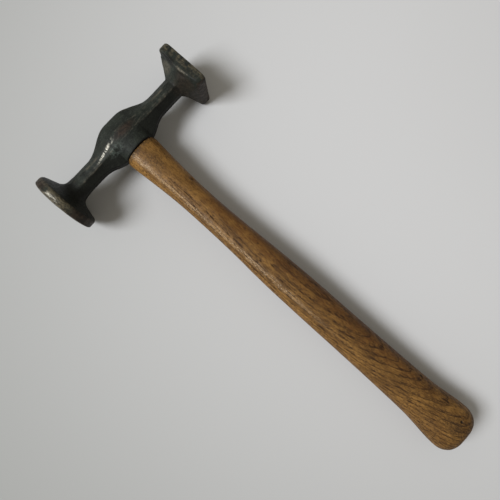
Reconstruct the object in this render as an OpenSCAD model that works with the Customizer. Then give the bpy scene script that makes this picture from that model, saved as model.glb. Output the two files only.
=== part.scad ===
// Body hammer: a forged steel head with a round and a square face, wedged on a hardwood handle.
// It lies on its side on a bench: the head runs along X, the square face towards +X,
// the handle runs towards -Y and the thickness is along Z.
// The pieces are drawn upright, with the head's axis on X and the handle's axis on Y,
// and bench() then tips them until the disc, the plate and the butt touch the bench.

/* [Head] */
// Handle axis to the middle of the round face
round_reach = 65; // [60:0.1:80]
// Handle axis to the square face
square_reach = 64.5; // [60:0.1:80]
// Width of the octagonal necks across the flats
neck_w = 15; // [13:0.1:17]
// Width of each of the necks' flats that lie square to Y and Z
neck_flat = 5.4; // [4:0.1:6.4]
// Small bevel along every long edge of the forging
edge_bevel = 0.5; // [0.2:0.1:0.8]

/* [Round face] */
// Diameter of the disc
disc_d = 46; // [38:0.5:56]
// Width of the disc's rim, face to back
disc_rim = 7.4; // [5:0.1:9]
// Radius on the rim's edge at the face
disc_edge = 1.2; // [0.5:0.1:2]
// Radius on the rim's edge at the back
disc_back_edge = 3; // [0.5:0.1:3.4]
// Rise of the crowned face at its middle
disc_crown = 0.6; // [0:0.1:1.5]
// Slope of the disc's back, away from a flat back
disc_slope = 18; // [10:1:30]
// Radius of the hollow flare between the disc's back and the neck
disc_flare = 8.5; // [6:0.1:9]

/* [Square face] */
// Side of the square face's plate
square_side = 37.5; // [32:0.5:44]
// Thickness of the plate
plate_t = 7.8; // [4:0.1:10]
// Radius of the plate's four corners
plate_corner = 2; // [1.5:0.1:4]
// Bevel round the striking face and the plate's back
plate_bevel = 0.6; // [0.3:0.1:1.2]
// Length of the flare from the neck to the plate
plate_flare = 8.8; // [7:0.1:14]

/* [Eye body] */
// Thickness of the head over its two cheek panels
body_t = 25; // [23:0.1:30]
// Head axis up to the crest of the body
crest_rise = 14.6; // [13:0.1:18]
// Width of the crest where the eye opens
crest_w = 14.6; // [14:0.1:18]
// Length of the level part of the crest
crest_l = 16; // [10:0.5:24]
// Length over which the body swells out of the necks
swell_l = 56; // [48:0.5:70]
// Width of a cheek panel at the eye
panel_w = 7.7; // [5:0.1:12]
// Head axis down to the flat boss that the handle's shoulder seats on
boss_drop = 13.9; // [12:0.1:18]
// Length of the boss along the head
boss_l = 25.4; // [24:0.1:30]
// Width of the boss across the head
boss_w = 21.6; // [18:0.1:26]
// Length from flank to flank where the boss meets the necks
flank_l = 52; // [44:0.5:60]

/* [Eye] */
// Length of the oval eye along the head, at the boss
eye_l = 20; // [16:0.1:22]
// Width of the oval eye, at the boss
eye_w = 10; // [8:0.1:11]
// How much further the eye reaches on each side at the crest than at the boss
eye_spread = 0.6; // [0.2:0.1:0.8]
// Gap all round between the wood and the steel
fit_gap = 0.05; // [0.02:0.01:0.15]

/* [Handle] */
// Length of the handle from its shoulder to its butt
handle_l = 287.5; // [240:1:360]
// Width of the shoulder
shoulder_w = 26; // [24:0.1:30]
// Thickness of the shoulder
shoulder_t = 21.6; // [18:0.1:26]
// Length of the rounding at the shoulder's top
shoulder_round = 5; // [2:0.1:8]
// How far the shoulder's rounding draws in
shoulder_in = 0.8; // [0.2:0.1:1.5]
// Width of the waist
waist_w = 20.6; // [18:0.1:24]
// Thickness of the waist
waist_t = 17.4; // [15:0.1:20]
// Shoulder to the start of the waist
waist_start = 42; // [30:1:50]
// Length of the waist
waist_l = 36; // [20:1:50]
// Width of the grip at its front
grip_front_w = 24.7; // [22:0.1:28]
// Thickness of the grip at its front
grip_front_t = 20; // [17:0.1:24]
// Length from the waist to the front of the grip
waist_to_grip = 54; // [40:1:60]
// Width of the grip at its back
grip_back_w = 27.9; // [25:0.1:31]
// Thickness of the grip at its back
grip_back_t = 21.6; // [19:0.1:25]
// Widest part of the butt
butt_w = 32.8; // [30:0.1:38]
// Thickness of the butt where it is widest
butt_t = 24.4; // [22:0.1:29]
// Length over which the grip swells into the butt
butt_swell = 25; // [15:1:30]
// Length of the butt's level part, ahead of its rounded end
butt_level = 4; // [0:0.5:10]
// Length of the butt's rounded end
butt_round = 10; // [6:0.5:16]
// Share of the butt's width that the rounded end keeps at its tip
butt_tip = 0.52; // [0.1:0.02:0.6]
// How far the end of the handle stands proud of the crest
tenon_proud = 0.3; // [0:0.1:1]

/* [Wedges] */
// Thickness of the wooden wedge at its head
wood_wedge_t = 2.6; // [1.5:0.1:3.5]
// Depth of the wooden wedge
wood_wedge_d = 20; // [15:0.5:24]
// Thickness of each steel wedge at its head
steel_wedge_t = 2.2; // [1.4:0.1:2.8]
// Width of each steel wedge
steel_wedge_w = 8.4; // [6:0.1:9]
// Depth of each steel wedge
steel_wedge_d = 13; // [10:0.5:14]
// Handle axis to the middle of each steel wedge
steel_wedge_at = 4.8; // [4:0.1:5.4]

/* [Hidden] */

// Thickness that a wedge keeps at its tip, as a share of its head
wedge_tip = 0.25;
// Overlap of shapes that are fused into one solid
fuse = 0.5;
// How far a cut runs past the surface that it opens
cut_over = 1;
// Sides of an oval section of the handle and of the eye, and the angle between its corners
oval_sides = 28;
oval_step = 360 / oval_sides;
// Exponent of the handle's section, where 2 is an ellipse
oval_power = 2.3;
// Rings along the rounded shoulder, each stretch of the handle and the rounded butt
end_rings = 7;
ring_step = 7;

disc_r = disc_d / 2;
plate_half = square_side / 2;
neck_half = neck_w / 2;
tenon_top = crest_rise + tenon_proud;
shoulder_y = -boss_drop - fit_gap;
plate_back = square_reach - plate_t;
flare_start = plate_back - plate_flare;
butt_at = handle_l - butt_level - butt_round;

// Value of a smooth curve through [place, value] pairs
function slope(p, i) =
    let(a = max(i - 1, 0), b = min(i + 1, len(p) - 1))
    (p[b][1] - p[a][1]) / (p[b][0] - p[a][0]);
function segment(p, x, i = 0) = i >= len(p) - 2 || x < p[i + 1][0] ? i : segment(p, x, i + 1);
function curve(p, x) =
    let(i = segment(p, x), step = p[i + 1][0] - p[i][0], u = (x - p[i][0]) / step)
    (1 + 2 * u) * pow(1 - u, 2) * p[i][1] + u * pow(1 - u, 2) * step * slope(p, i)
    + u * u * (3 - 2 * u) * p[i + 1][1] + u * u * (u - 1) * step * slope(p, i + 1);

// Eased step from 0 to 1, half straight and half smooth
function clamp01(u) = min(max(u, 0), 1);
function ease(u) = let(c = clamp01(u)) (c + c * c * (3 - 2 * c)) / 2;
function mix(a, b, u) = a + (b - a) * u;

// Solid through closed rings of points, in order
module loft(rings) {
    n = len(rings[0]);
    last = (len(rings) - 1) * n;
    sides = [for (r = [0:len(rings) - 2], i = [0:n - 1])
        let(a = r * n + i, b = r * n + (i + 1) % n)
        each [[a, b + n, b], [a, a + n, b + n]]];
    caps = [[for (i = [0:n - 1]) i], [for (i = [n - 1:-1:0]) last + i]];
    polyhedron(points = [for (r = rings) each r], faces = concat(sides, caps));
}

// Where the disc's hollow flare begins on the neck, and where its back begins
disc_sink = 0.4;
arc_end = 90 - disc_slope;
flare_foot = neck_half - disc_sink;
flare_top_r = flare_foot + disc_flare * (1 - cos(arc_end));
disc_back_h = round_reach - disc_crown - disc_rim;
disc_flare_at = disc_back_h - (disc_r - disc_back_edge - flare_top_r) * tan(disc_slope)
    - disc_flare * sin(arc_end);

// Places along the head at which its section is drawn
swell_places = [for (s = [-1:0.125:1]) s * swell_l / 2];
boss_places = [for (a = [-90:15:90]) sin(a) * boss_l / 2];
flank_places = [for (s = [-1, 1], u = [0.5, 1]) s * mix(boss_l, flank_l, u) / 2];
flare_places = [for (u = [0, 0.04, 0.09, 0.15, 0.3, 0.5, 0.75, 1]) flare_start + u * plate_flare];
disc_end = [-disc_flare_at - disc_flare * sin(40)];
function sorted(v) = len(v) < 2 ? v : let(
    pivot = v[floor(len(v) / 2)],
    low = [for (x = v) if (x < pivot - 0.05) x],
    high = [for (x = v) if (x > pivot + 0.05) x])
    concat(sorted(low), [pivot], sorted(high));

// Half width and corner flat of the square flare
function flare_share(x) = let(u = clamp01((x - flare_start) / plate_flare)) u * u / (u + 0.06) * 1.06;

// Corners of the head's section, above the X-Y plane: [y, z] from the crest to the boss
function corners(x) =
    let(
        swell = ease((swell_l / 2 - abs(x)) / ((swell_l - crest_l) / 2)),
        cheek = ease((swell_l / 2 - abs(x)) / (swell_l / 2)),
        drop = clamp01((flank_l / 2 - abs(x)) / ((flank_l - boss_l) / 2)),
        round_off = sqrt(max(1 - pow(2 * x / boss_l, 2), 0)),
        flare = flare_share(x),
        half = mix(neck_half, plate_half - plate_bevel, flare),
        flat = mix(neck_flat / 2, half - plate_corner, flare),
        top_y = mix(half, crest_rise, swell),
        top_z = mix(flat, crest_w / 2, swell),
        low_y = mix(half, boss_drop, drop),
        low_z = max(flat, boss_w / 2 * round_off),
        side_z = mix(half, body_t / 2, cheek),
        side_y = mix(flat, panel_w / 2, cheek))
    [[top_y, top_z], [side_y, side_z], [-side_y, side_z], [-low_y, low_z]];

// The whole section, each corner cut by a small bevel
function toward(a, b, d) = a + (b - a) * min(d / norm(b - a), 0.4);
function section(x) =
    let(
        c = corners(x),
        ring = concat(c, [for (i = [3:-1:0]) [c[i][0], -c[i][1]]]),
        n = len(ring))
    [for (i = [0:n - 1]) each let(p = ring[i], q = ring[(i + n - 1) % n], r = ring[(i + 1) % n])
        [concat([x], toward(p, q, edge_bevel)), concat([x], toward(p, r, edge_bevel))]];

// Outline of the disc as [radius, distance from the handle axis]
function rim_arc(r, h, from) =
    [for (a = [from:15:from + 90]) [disc_r - r + r * cos(a), h + r * sin(a)]];
disc_outline = concat(
    [[0, disc_flare_at - disc_flare / 2], [flare_foot, disc_flare_at - disc_flare / 2]],
    [for (a = [0:arc_end / 8:arc_end + 0.01])
        [flare_foot + disc_flare * (1 - cos(a)), disc_flare_at + disc_flare * sin(a)]],
    rim_arc(disc_back_edge, disc_back_h + disc_back_edge, -90),
    rim_arc(disc_edge, disc_back_h + disc_rim - disc_edge, 0),
    [for (u = [0.75:-0.25:0])
        [u * (disc_r - disc_edge), round_reach - disc_crown * u * u]]);

module disc() {
    rotate([0, -90, 0]) rotate_extrude($fn = 96) polygon(disc_outline);
}

module plate_slab(side, from, to) {
    r = plate_corner;
    translate([from, 0, 0]) rotate([0, 90, 0]) linear_extrude(to - from)
        hull() for (y = [-1, 1], z = [-1, 1])
            translate([y, z] * (side / 2 - r)) circle(r, $fn = 32);
}

// Square plate, bevelled round its face and its back
module plate() {
    hull() {
        plate_slab(square_side - 2 * plate_bevel, plate_back, square_reach);
        plate_slab(square_side, plate_back + plate_bevel, square_reach - plate_bevel);
    }
}

// Neck, eye body, neck and square flare as one forging
module forging() {
    places = sorted(concat(disc_end, swell_places, boss_places, flank_places, flare_places,
        [plate_back + fuse]));
    loft([for (x = places) section(x)]);
}

// Oval of the eye at height y, drawn in by gap
function eye_ring(y, gap) =
    let(
        spread = eye_spread * (y + boss_drop) / (crest_rise + boss_drop),
        r = eye_w / 2 + spread - gap,
        run = (eye_l - eye_w) / 2)
    [for (i = [0:oval_sides - 1]) let(a = (i + 0.5) * oval_step)
        [(cos(a) > 0 ? run : -run) + r * cos(a), y, -r * sin(a)]];
module eye(gap, from, to) {
    loft([eye_ring(from, gap), eye_ring(to, gap)]);
}

// Handle: widths and thicknesses along it, measured from the shoulder
waist_end = waist_start + waist_l;
grip_front = waist_end + waist_to_grip;
grip_back = butt_at - butt_swell;
widths = [[0, shoulder_w], [waist_start, waist_w], [waist_end, waist_w],
    [grip_front, grip_front_w], [grip_back, grip_back_w], [butt_at, butt_w], [handle_l, butt_w]];
thicknesses = [[0, shoulder_t], [waist_start, waist_t], [waist_end, waist_t],
    [grip_front, grip_front_t], [grip_back, grip_back_t], [butt_at, butt_t], [handle_l, butt_t]];
function power(v) = sign(v) * pow(abs(v), 2 / oval_power);
function quarter(u) = 1 - sqrt(1 - pow(clamp01(u), 2));
function half_size(sizes, d) =
    (curve(sizes, d) / 2 - shoulder_in * quarter(1 - d / shoulder_round))
    * (1 - (1 - butt_tip) * quarter(1 - (handle_l - d) / butt_round));
function half_thickness(d) = half_size(thicknesses, d);
function handle_ring(d) =
    let(w = half_size(widths, d), t = half_thickness(d))
    [for (i = [0:oval_sides - 1]) let(a = i * oval_step)
        [w * power(cos(a)), shoulder_y - d, t * power(sin(a))]];
shaft_places = concat(
    [for (i = [0:end_rings]) shoulder_round * (1 - cos(90 * i / end_rings))],
    [for (d = [shoulder_round + ring_step:ring_step:handle_l - butt_round - ring_step / 2]) d],
    [for (i = [0:end_rings]) handle_l - butt_round * (1 - sin(90 * i / end_rings))]);
// Tips the upright hammer onto the bench, on its disc, the plate's edge and the butt.
// Each ring of the grip and the butt would meet the bench at its own pitch: the least one holds.
disc_x = -(disc_back_h + disc_back_edge);
plate_x = square_reach - plate_bevel;
plate_y = plate_half - plate_corner;
rest_span = plate_x - disc_x;
function pitch_at(d) =
    asin((disc_r - half_thickness(d) + disc_x * (disc_r - plate_half) / rest_span)
        / (d - shoulder_y + disc_x * plate_y / rest_span));
pitch = min([for (d = shaft_places) if (d > grip_front) pitch_at(d)]);
roll = atan((disc_r - plate_half - plate_y * sin(pitch)) / rest_span);
lift = disc_r * cos(roll) + disc_x * sin(roll);
mid_x = (square_reach * cos(roll) + plate_half * sin(roll)
    - round_reach * cos(roll) - disc_crown * sin(roll)) / 2;
mid_y = (disc_r - (handle_l - shoulder_y) * cos(pitch)) / 2;
module bench() {
    translate([-mid_x, -mid_y, lift]) rotate([pitch, roll, 0]) children();
}

module shaft() {
    loft([for (d = shaft_places) handle_ring(d)]);
}
module tenon() {
    eye(fit_gap, shoulder_y - fuse, tenon_top);
}

// Tapered slab from the end of the tenon down, w wide along Z or along X
module wedge_slab(t, d, w, over) {
    translate([0, 0, -w / 2]) linear_extrude(w)
        polygon([[-t / 2, tenon_top], [-t * wedge_tip / 2, tenon_top - d],
            [t * wedge_tip / 2, tenon_top - d], [t / 2, tenon_top],
            [t / 2, tenon_top + over], [-t / 2, tenon_top + over]]);
}
module wood_slab(over = 0) {
    rotate([0, 90, 0]) wedge_slab(wood_wedge_t, wood_wedge_d, 2 * eye_l, over);
}
module steel_slab(side, over = 0) {
    translate([side * steel_wedge_at, 0, 0])
        wedge_slab(steel_wedge_t, steel_wedge_d, steel_wedge_w, over);
}

module head() color("#33363a") bench() difference() {
    union() {
        forging();
        disc();
        plate();
    }
    eye(0, -boss_drop - cut_over, crest_rise + cut_over);
}
module handle() color("#9a6a36") bench() difference() {
    union() {
        shaft();
        tenon();
    }
    wood_slab(cut_over);
    steel_slab(-1, cut_over);
    steel_slab(1, cut_over);
}
module wood_wedge() color("#c9a36b") bench() difference() {
    intersection() {
        wood_slab();
        tenon();
    }
    steel_slab(-1, cut_over);
    steel_slab(1, cut_over);
}
module steel_wedge_round() color("#7d7f82") bench() steel_slab(-1);
module steel_wedge_square() color("#7d7f82") bench() steel_slab(1);

head();
handle();
wood_wedge();
steel_wedge_round();
steel_wedge_square();
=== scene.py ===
"""Body hammer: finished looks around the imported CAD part.

The head, the handle and the wedges are drawn upright in millimetres, with the head's axis on X, the
handle's axis on Y and the thickness on Z, as the CAD source draws them, and are then laid on the bench.
"""
import math

import bpy
import numpy as np
from mathutils import Matrix, Vector


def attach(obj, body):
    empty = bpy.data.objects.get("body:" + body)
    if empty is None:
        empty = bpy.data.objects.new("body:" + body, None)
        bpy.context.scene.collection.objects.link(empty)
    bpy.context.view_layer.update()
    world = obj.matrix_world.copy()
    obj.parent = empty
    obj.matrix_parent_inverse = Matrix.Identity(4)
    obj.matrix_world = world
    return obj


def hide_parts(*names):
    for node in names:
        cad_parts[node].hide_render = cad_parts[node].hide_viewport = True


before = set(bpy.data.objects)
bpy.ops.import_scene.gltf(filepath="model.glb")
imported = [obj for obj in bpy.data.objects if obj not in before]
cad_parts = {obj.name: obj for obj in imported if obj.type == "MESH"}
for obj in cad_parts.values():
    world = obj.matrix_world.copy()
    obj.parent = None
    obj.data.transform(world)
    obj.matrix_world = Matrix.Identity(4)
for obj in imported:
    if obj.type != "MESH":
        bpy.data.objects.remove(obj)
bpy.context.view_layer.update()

MM = 0.001

# Round face and its disc
ROUND_REACH = 65.0
DISC_R = 23.0
DISC_RIM = 7.4
DISC_EDGE = 1.2
DISC_BACK_EDGE = 3.0
DISC_CROWN = 0.6  # how far the middle of the round face stands out
DISC_SLOPE = math.radians(18)
DISC_FLARE = 8.5
DISC_TAPER = 0.4  # slope of the disc's flare where it dives into the neck

# Square face, its plate and the flare behind it
SQUARE_REACH = 64.5
PLATE_HALF = 18.75
PLATE_T = 7.8
PLATE_CORNER = 2.0
PLATE_BEVEL = 0.6
PLATE_FLARE = 8.8
FLARE_HOLLOW = 0.06  # the smaller, the more suddenly the flare leaves the neck

# The flare's facets on the crest side run in to here where they meet the plate
FAR_RIDGE = 1.5
FAR_CORNER = 9.0

# How round wear has made the ridges, bends, edges and corners of the steel
RIDGE_WORN = 0.45
FLARE_WORN = 2.4
FLARE_WORN_BY = 0.25  # share of the flare's spread by which its ridges are fully worn
SWELL_WORN = 4.0
SWELL_SAMPLES = 7  # shifted copies of the swell that its worn bends are the mean of
PLATE_WORN = 1.3
CORNER_WORN = 1.6  # added to the radius of the plate's corners as seen from the face
CORNER_ROUND = 0.8  # added to the plate's edge wear near the corners
CORNER_FROM = 14.0
CORNER_RUN = 4.0
DISC_BACK_WORN = 2.0
EYE_WORN = 0.5

# Bow of the plate's back edge: its height, its middle along Y and its reach from there
PLATE_BOW = 1.7
BOW_MID = -1.0
BOW_REACH = 15.0

# Soft joins of the disc and of the plate to the forging, and how far the forging runs into the plate
DISC_FILLET = 2.5
PLATE_FILLET = 1.0
PLATE_OVERLAP = 1.0

# Necks and eye body
NECK_HALF = 7.5
NECK_FLAT = 2.7
BODY_HALF = 12.5
CREST_RISE = 14.6
CREST_HALF = 7.3
CREST_L = 16.0
SWELL_L = 56.0
PANEL_HALF = 3.85
BOSS_DROP = 13.9
BOSS_L = 25.4
BOSS_HALF = 10.8
FLANK_L = 52.0
FLARE_SUNK = 0.4  # how deep the foot of the disc's flare lies in the neck

# Eye
EYE_L = 20.0
EYE_W = 10.0
EYE_SPREAD = 0.6
FIT_GAP = 0.05

# Handle: places along it from the shoulder, its rounded shoulder and butt, and the tenon in the eye
HANDLE_L = 287.5
WAIST_FROM = 42
WAIST_TO = 78
GRIP_AT = 132
SHOULDER_Y = -BOSS_DROP - FIT_GAP
SHOULDER_ROUND = 5.0
SHOULDER_IN = 0.8
SHOULDER_WORN = 1.0
BUTT_SWELL = 25
BUTT_FLAT = 4.0
BUTT_ROUND = 10.0
BUTT_TIP = 0.52  # share of the butt's size that is left at its very end
BUTT_WORN = 1.5
BUTT_AT = HANDLE_L - BUTT_FLAT - BUTT_ROUND
OVAL_POWER = 2.3
TENON_PROUD = 0.3
TENON_TOP = CREST_RISE + TENON_PROUD
TENON_WORN = 0.5
TENON_SUNK = 0.5

# Full width and full thickness of the handle at those places
WIDTHS = [
    (0, 26),
    (WAIST_FROM, 20.6),
    (WAIST_TO, 20.6),
    (GRIP_AT, 24.7),
    (BUTT_AT - BUTT_SWELL, 27.9),
    (BUTT_AT, 32.8),
    (HANDLE_L, 32.8),
]
THICKNESSES = [
    (0, 21.6),
    (WAIST_FROM, 17.4),
    (WAIST_TO, 17.4),
    (GRIP_AT, 20),
    (BUTT_AT - BUTT_SWELL, 21.6),
    (BUTT_AT, 24.4),
    (HANDLE_L, 24.4),
]

# Dents in the handle's upper side: x, y, radius and depth of each, and how round their rims are
DENTS = [
    (9.0, -55.0, 1.6, 0.5),
    (7.9, -104.7, 1.2, 0.5),
    (6.1, -118.0, 0.8, 0.3),
    (5.9, -290.3, 0.9, 0.7),
]
DENT_WORN = 0.3

# Wedges, and how far the driven ends of the steel ones stand proud and have spread
WOOD_WEDGE_T = 2.6
WOOD_WEDGE_D = 20.0
WOOD_WEDGE_WORN = 0.2
WOOD_WEDGE_TOP_WORN = 0.3
STEEL_WEDGE_T = 2.2
STEEL_WEDGE_W = 8.4
STEEL_WEDGE_D = 13.0
STEEL_WEDGE_AT = 4.8
STEEL_WEDGE_WORN = 0.25
STEEL_WEDGE_PROUD = 0.25
STEEL_WEDGE_SPREAD = 0.15
STEEL_WEDGE_SPREAD_L = 1.0
WEDGE_TIP = 0.25  # share of a wedge's thickness that is left at its tip

# Mesh cells, the space searched around each piece, and how often the points are evened out
HEAD_STEP = 0.5
HANDLE_STEP = 0.6
WEDGE_STEP = 0.3
MARGIN = 1.0
HANDLE_BOX = (18, 14)  # half the width and half the thickness of the space searched
WEDGE_BOX = (12, 6)
SMOOTHINGS = 4

# Unevenness: depth and size of the broad and the fine kind, and how far both are sunk into the piece
STEEL_UNEVEN = ((0.1, 7.0), (0.06, 2.5))
STEEL_SUNK = 0.16
STEEL_EVEN = 0.6  # distance from the eye over which it starts
WOOD_UNEVEN = ((0.12, 7.0), (0.05, 2.0))
WOOD_SUNK = 0.17
WOOD_EVEN_TO = 1.0  # distance from the shoulder where it starts

# Growth rings of the handle: their spacing, and how far they lean to the square face's side
RING = 2.3
RING_LEAN = 0.6

# Run of the handle's fibres: their slant, and the length over which they turn off towards the butt
FIBRE_SLANT = -0.04
TURN_FROM = 100
TURN_L = 150
TURN_SIDE = 0.3
TURN_UP = 0.1

# Polished edges of the two faces, how far they reach back
ROUND_POLISH = 1.4
SQUARE_POLISH = 0.6

# Marks on the disc's rim: the rim's band, the bright patch, the olive part and the rusty parts
RIM_BAND = 1.8
RIM_FROM = 0.5
PATCH_HALF = 1.5
PATCH_OFF = 0.8
PATCH_FROM_Z = 8
PATCH_Y = (-6, 6)
OLIVE_Y = (-17, 8)
RIM_RUST_Y = (-11, 5)

# Worn streak on the head's upper panel: middle, slope, half width and how it widens, half length
STREAK_X = -17.5
STREAK_Y = 0.45
STREAK_SLOPE = 0.17
STREAK_HALF = 0.8
STREAK_WIDENS = 0.035
STREAK_REACH = 11

# Two worn lines along the head's upper panel, bowed apart like a spindle over the eye body
LINES_Y = 0.4
LINES_HALF = 0.34
LINES_END = 44
SPINDLE_HALF = 1.5
SPINDLE_BOW = 2.4
SPINDLE_X = 2
SPINDLE_REACH = 17

# Strips along the plate's top and its side towards the butt, and the worn ridge on its back edge
TOP_STRIP = 2
SIDE_STRIP = 3
BROWN_FROM = 0.5
BACK_RIDGE_OFF = 0.6
BACK_RIDGE_HALF = 1.4
BACK_RIDGE_Y = -4
BACK_RIDGE_REACH = 8

# Where edge wear, rust and painted shade start or end on the rest of the head: the painted shade on the
# facets towards the handle and on the disc, and around the eye and along the boss's foot
EDGE_WORN_FROM_Y = -4.5
PAINTED_SHADE_X = (-54, 52)
DISC_PAINTED_SHADE_FROM = 44
NECK_RUST_FROM = 42
NECK_RUST_TO_Y = 2
EYE_SHADE = 1.2
BOSS_SHADE = 1.6
BOSS_SHADE_HALF = 14
RELIEF_REACH = 1.7  # distance within which a point is compared with its surroundings

# Soft spots of wear and dirt, of painted sheen and of a painted lit facet: middle and reach along X, Y and
# Z
CHEEK_RUST = ((3.5, 0.4, 12.5), (16, 4.4, 4))
CHEEK_SHEEN = ((-12, -4.5, 10), (9, 5, 6))
FLARE_PAINTED_LIGHT = ((55, 10, 9), (7, 8, 8))
FLARE_GRIME = ((56.5, 9, 17), (3.5, 8, 5))
SHOULDER_GRIME = ((1, -28, 9), (8, 14, 6))
BUTT_GRIME = ((1, -289, 10), (8, 9, 8))
DENT_GRIME = ((5.9, -290.3, 11), (1.4, 1.4, 2))

# Wear and dirt of the handle, its painted highlight and its painted shade: lengths from the shoulder, and
# places in X and Z
HIGHLIGHT_STREAK_X = -6.2
HIGHLIGHT_STREAK_END = 190
GOLD_X = -8.4
GOLD_Z = 1
GOLD_END = 220
SHOULDER_GOLD_END = 60
BUTT_GOLD_FROM = 215
OPEN_FROM = 95
OPEN_LEFT_X = 1.5
OPEN_LEFT_FROM = 12
RED_X = -2
RED_FROM = 20
RED_END = 280
SHOULDER_SHADE = 5
BUTT_DIRT = 12
TENON_DIRT = 3

# Colours of the forged steel, 8 bits each
SCALE_DEEP = (29, 32, 28)
SCALE_PLAIN = (42, 46, 40)
SCALE_MOTTLE = (60, 68, 60)
SCALE_STREAK = (86, 88, 78)
SCALE_PIT = (14, 15, 13)
SCALE_GRAIN = (76, 82, 74)
# Painted shade: the steel's colour on the facets that face away from the window
PAINTED_SHADE_COLOUR = (15, 15, 13)
RUST_DEEP = (38, 30, 24)
RUST_PLAIN = (60, 48, 39)
BROWN_DEEP = (56, 51, 40)
BROWN_PALE = (104, 96, 76)
# Painted sheen: the room's reflection on the cheek, painted as colour
SHEEN = (90, 100, 93)
# Worn edges and ridges, and a painted lit facet on the flare's crest side
EDGE_STEEL = (112, 106, 92)
FACE_STEEL = (128, 125, 116)
BARE_STEEL = (196, 192, 178)
# Dirt on the steel, darker hollows, and painted shade in the eye and along the boss's foot
STEEL_DIRT_AND_SHADE = (9, 8, 6)
STEEL_SPECULAR = 0.18

# Colours of the handle's wood
WOOD_PLAIN = (140, 102, 50)
WOOD_BROWN = (98, 68, 31)
# Redder wood, darkened as painted shade on the side away from the window
WOOD_RED_AND_SHADE = (94, 58, 27)
WOOD_GOLD = (154, 114, 60)
# Painted highlight: the window's reflection along the handle's upper left side
WOOD_PAINTED_HIGHLIGHT = (174, 142, 100)
WOOD_SHADE = (74, 48, 22)
FIBRE_PALE = (156, 118, 64)
FIBRE_DARK = (70, 45, 19)
POROUS_WOOD = (82, 54, 24)
PORE = (46, 28, 13)
WOOD_SPECK = (48, 33, 18)
# Painted glints within that painted highlight
WOOD_GLINT = (216, 192, 160)
# Dirt on the wood, and painted shade at the shoulder where the handle meets the head
WOOD_DIRT_AND_SHADE = (32, 23, 13)
WOOD_SPECULAR = 0.22

# Colours of the wedges
END_GRAIN_PALE = (96, 70, 42)
END_GRAIN_DARK = (54, 38, 22)
WEDGE_GREY = (104, 100, 94)
WEDGE_RUST = (70, 50, 36)

# Window and room light: angles in degrees, as seen from the hammer, and the distance in metres
WINDOW_TURN = 146
WINDOW_RISE = 52
WINDOW_HALF_WIDTH = 11.5
WINDOW_HALF_HEIGHT = 11.5
WINDOW_AWAY = 2.2
WINDOW_LIGHT = 0.72  # its share of the light on the bench
WINDOW_COLOUR = (0.97, 0.99, 1.03)
ROOM_LIGHT = 0.28  # the room's share
ROOM_COLOUR = (1.06, 1.0, 0.88, 1)

# Floor: its size, the middle of the pool of light painted on it and how far from there the painted light
# fades, in metres, and its colours
FLOOR_SIZE = 8
BRIGHTEST = (0.28, -0.08, 0.0)
BRIGHT_REACH = 0.145
DARK_REACH = 0.69
PAPER_IN_PAINTED_LIGHT = (214, 214, 214)
PAPER_OUT_OF_PAINTED_LIGHT = (148, 149, 145)

# Camera: place and sensor width in millimetres, turns about Z, X and Y in degrees
FOCAL_PX = 449.6  # focal length in pixels of a picture as wide as PICTURE_PX
PICTURE_PX = 500
CAMERA_PLACE = (-10.76, -4.97, 322.84)
CAMERA_TURN = (-48.451, 4.764, 2.728)
SENSOR = 36
NEAREST = 0.01  # metres
FURTHEST = 20  # metres

# Worked out from those
FLARE_FOOT = NECK_HALF - FLARE_SUNK
ARC_END = math.pi / 2 - DISC_SLOPE
ARC_RISE = DISC_FLARE * math.sin(ARC_END)
DISC_BACK = ROUND_REACH - DISC_CROWN - DISC_RIM
FLARE_TOP_R = FLARE_FOOT + DISC_FLARE * (1 - math.cos(ARC_END))
DISC_FLARE_AT = DISC_BACK - (DISC_R - DISC_BACK_EDGE - FLARE_TOP_R) * math.tan(DISC_SLOPE) - ARC_RISE
PLATE_BACK = SQUARE_REACH - PLATE_T
FLARE_START = PLATE_BACK - PLATE_FLARE


def ease(u):
    """Eased step from 0 to 1, half straight and half smooth."""
    c = np.clip(u, 0, 1)
    return (c + c * c * (3 - 2 * c)) / 2


def smooth(u):
    c = np.clip(u, 0, 1)
    return c * c * (3 - 2 * c)


def mix(a, b, u):
    return a + (b - a) * u


def curve(pairs, x):
    """Value at each x of a smooth curve through (place, value) pairs."""
    at, value = np.array(pairs, float).T
    before = np.maximum(np.arange(len(at)) - 1, 0)
    after = np.minimum(np.arange(len(at)) + 1, len(at) - 1)
    slope = (value[after] - value[before]) / (at[after] - at[before])
    i = np.clip(np.searchsorted(at, x, side="right") - 1, 0, len(at) - 2)
    step = at[i + 1] - at[i]
    u = (x - at[i]) / step
    return (
        (1 + 2 * u) * (1 - u) ** 2 * value[i]
        + u * (1 - u) ** 2 * step * slope[i]
        + u * u * (3 - 2 * u) * value[i + 1]
        + u * u * (u - 1) * step * slope[i + 1]
    )


def round_max(a, b, r):
    """What is inside both fields, with the edge between them rounded to radius r."""
    return np.minimum(np.maximum(a, b), -r) + np.hypot(np.maximum(a + r, 0), np.maximum(b + r, 0))


def blend_min(a, b, k):
    """What is inside either field, with a soft fillet over a width of k."""
    near = np.maximum(k - np.abs(a - b), 0) / k
    return np.minimum(a, b) - near * near * k / 4


def noise(p, size, seed, side=32, start=500.0):
    """Smooth noise from -1 to 1 at points p, with features of about that size."""
    table = np.random.default_rng(seed).uniform(-1, 1, (side, side, side))
    q = p / size + start
    cell = np.floor(q).astype(int)
    f = smooth(q - cell)
    total = np.zeros(len(p))
    for corner in np.ndindex(2, 2, 2):
        weight = np.prod(np.where(corner, f, 1 - f), axis=1)
        i, j, k = ((cell + corner) % side).T
        total += weight * table[i, j, k]
    return total


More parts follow.
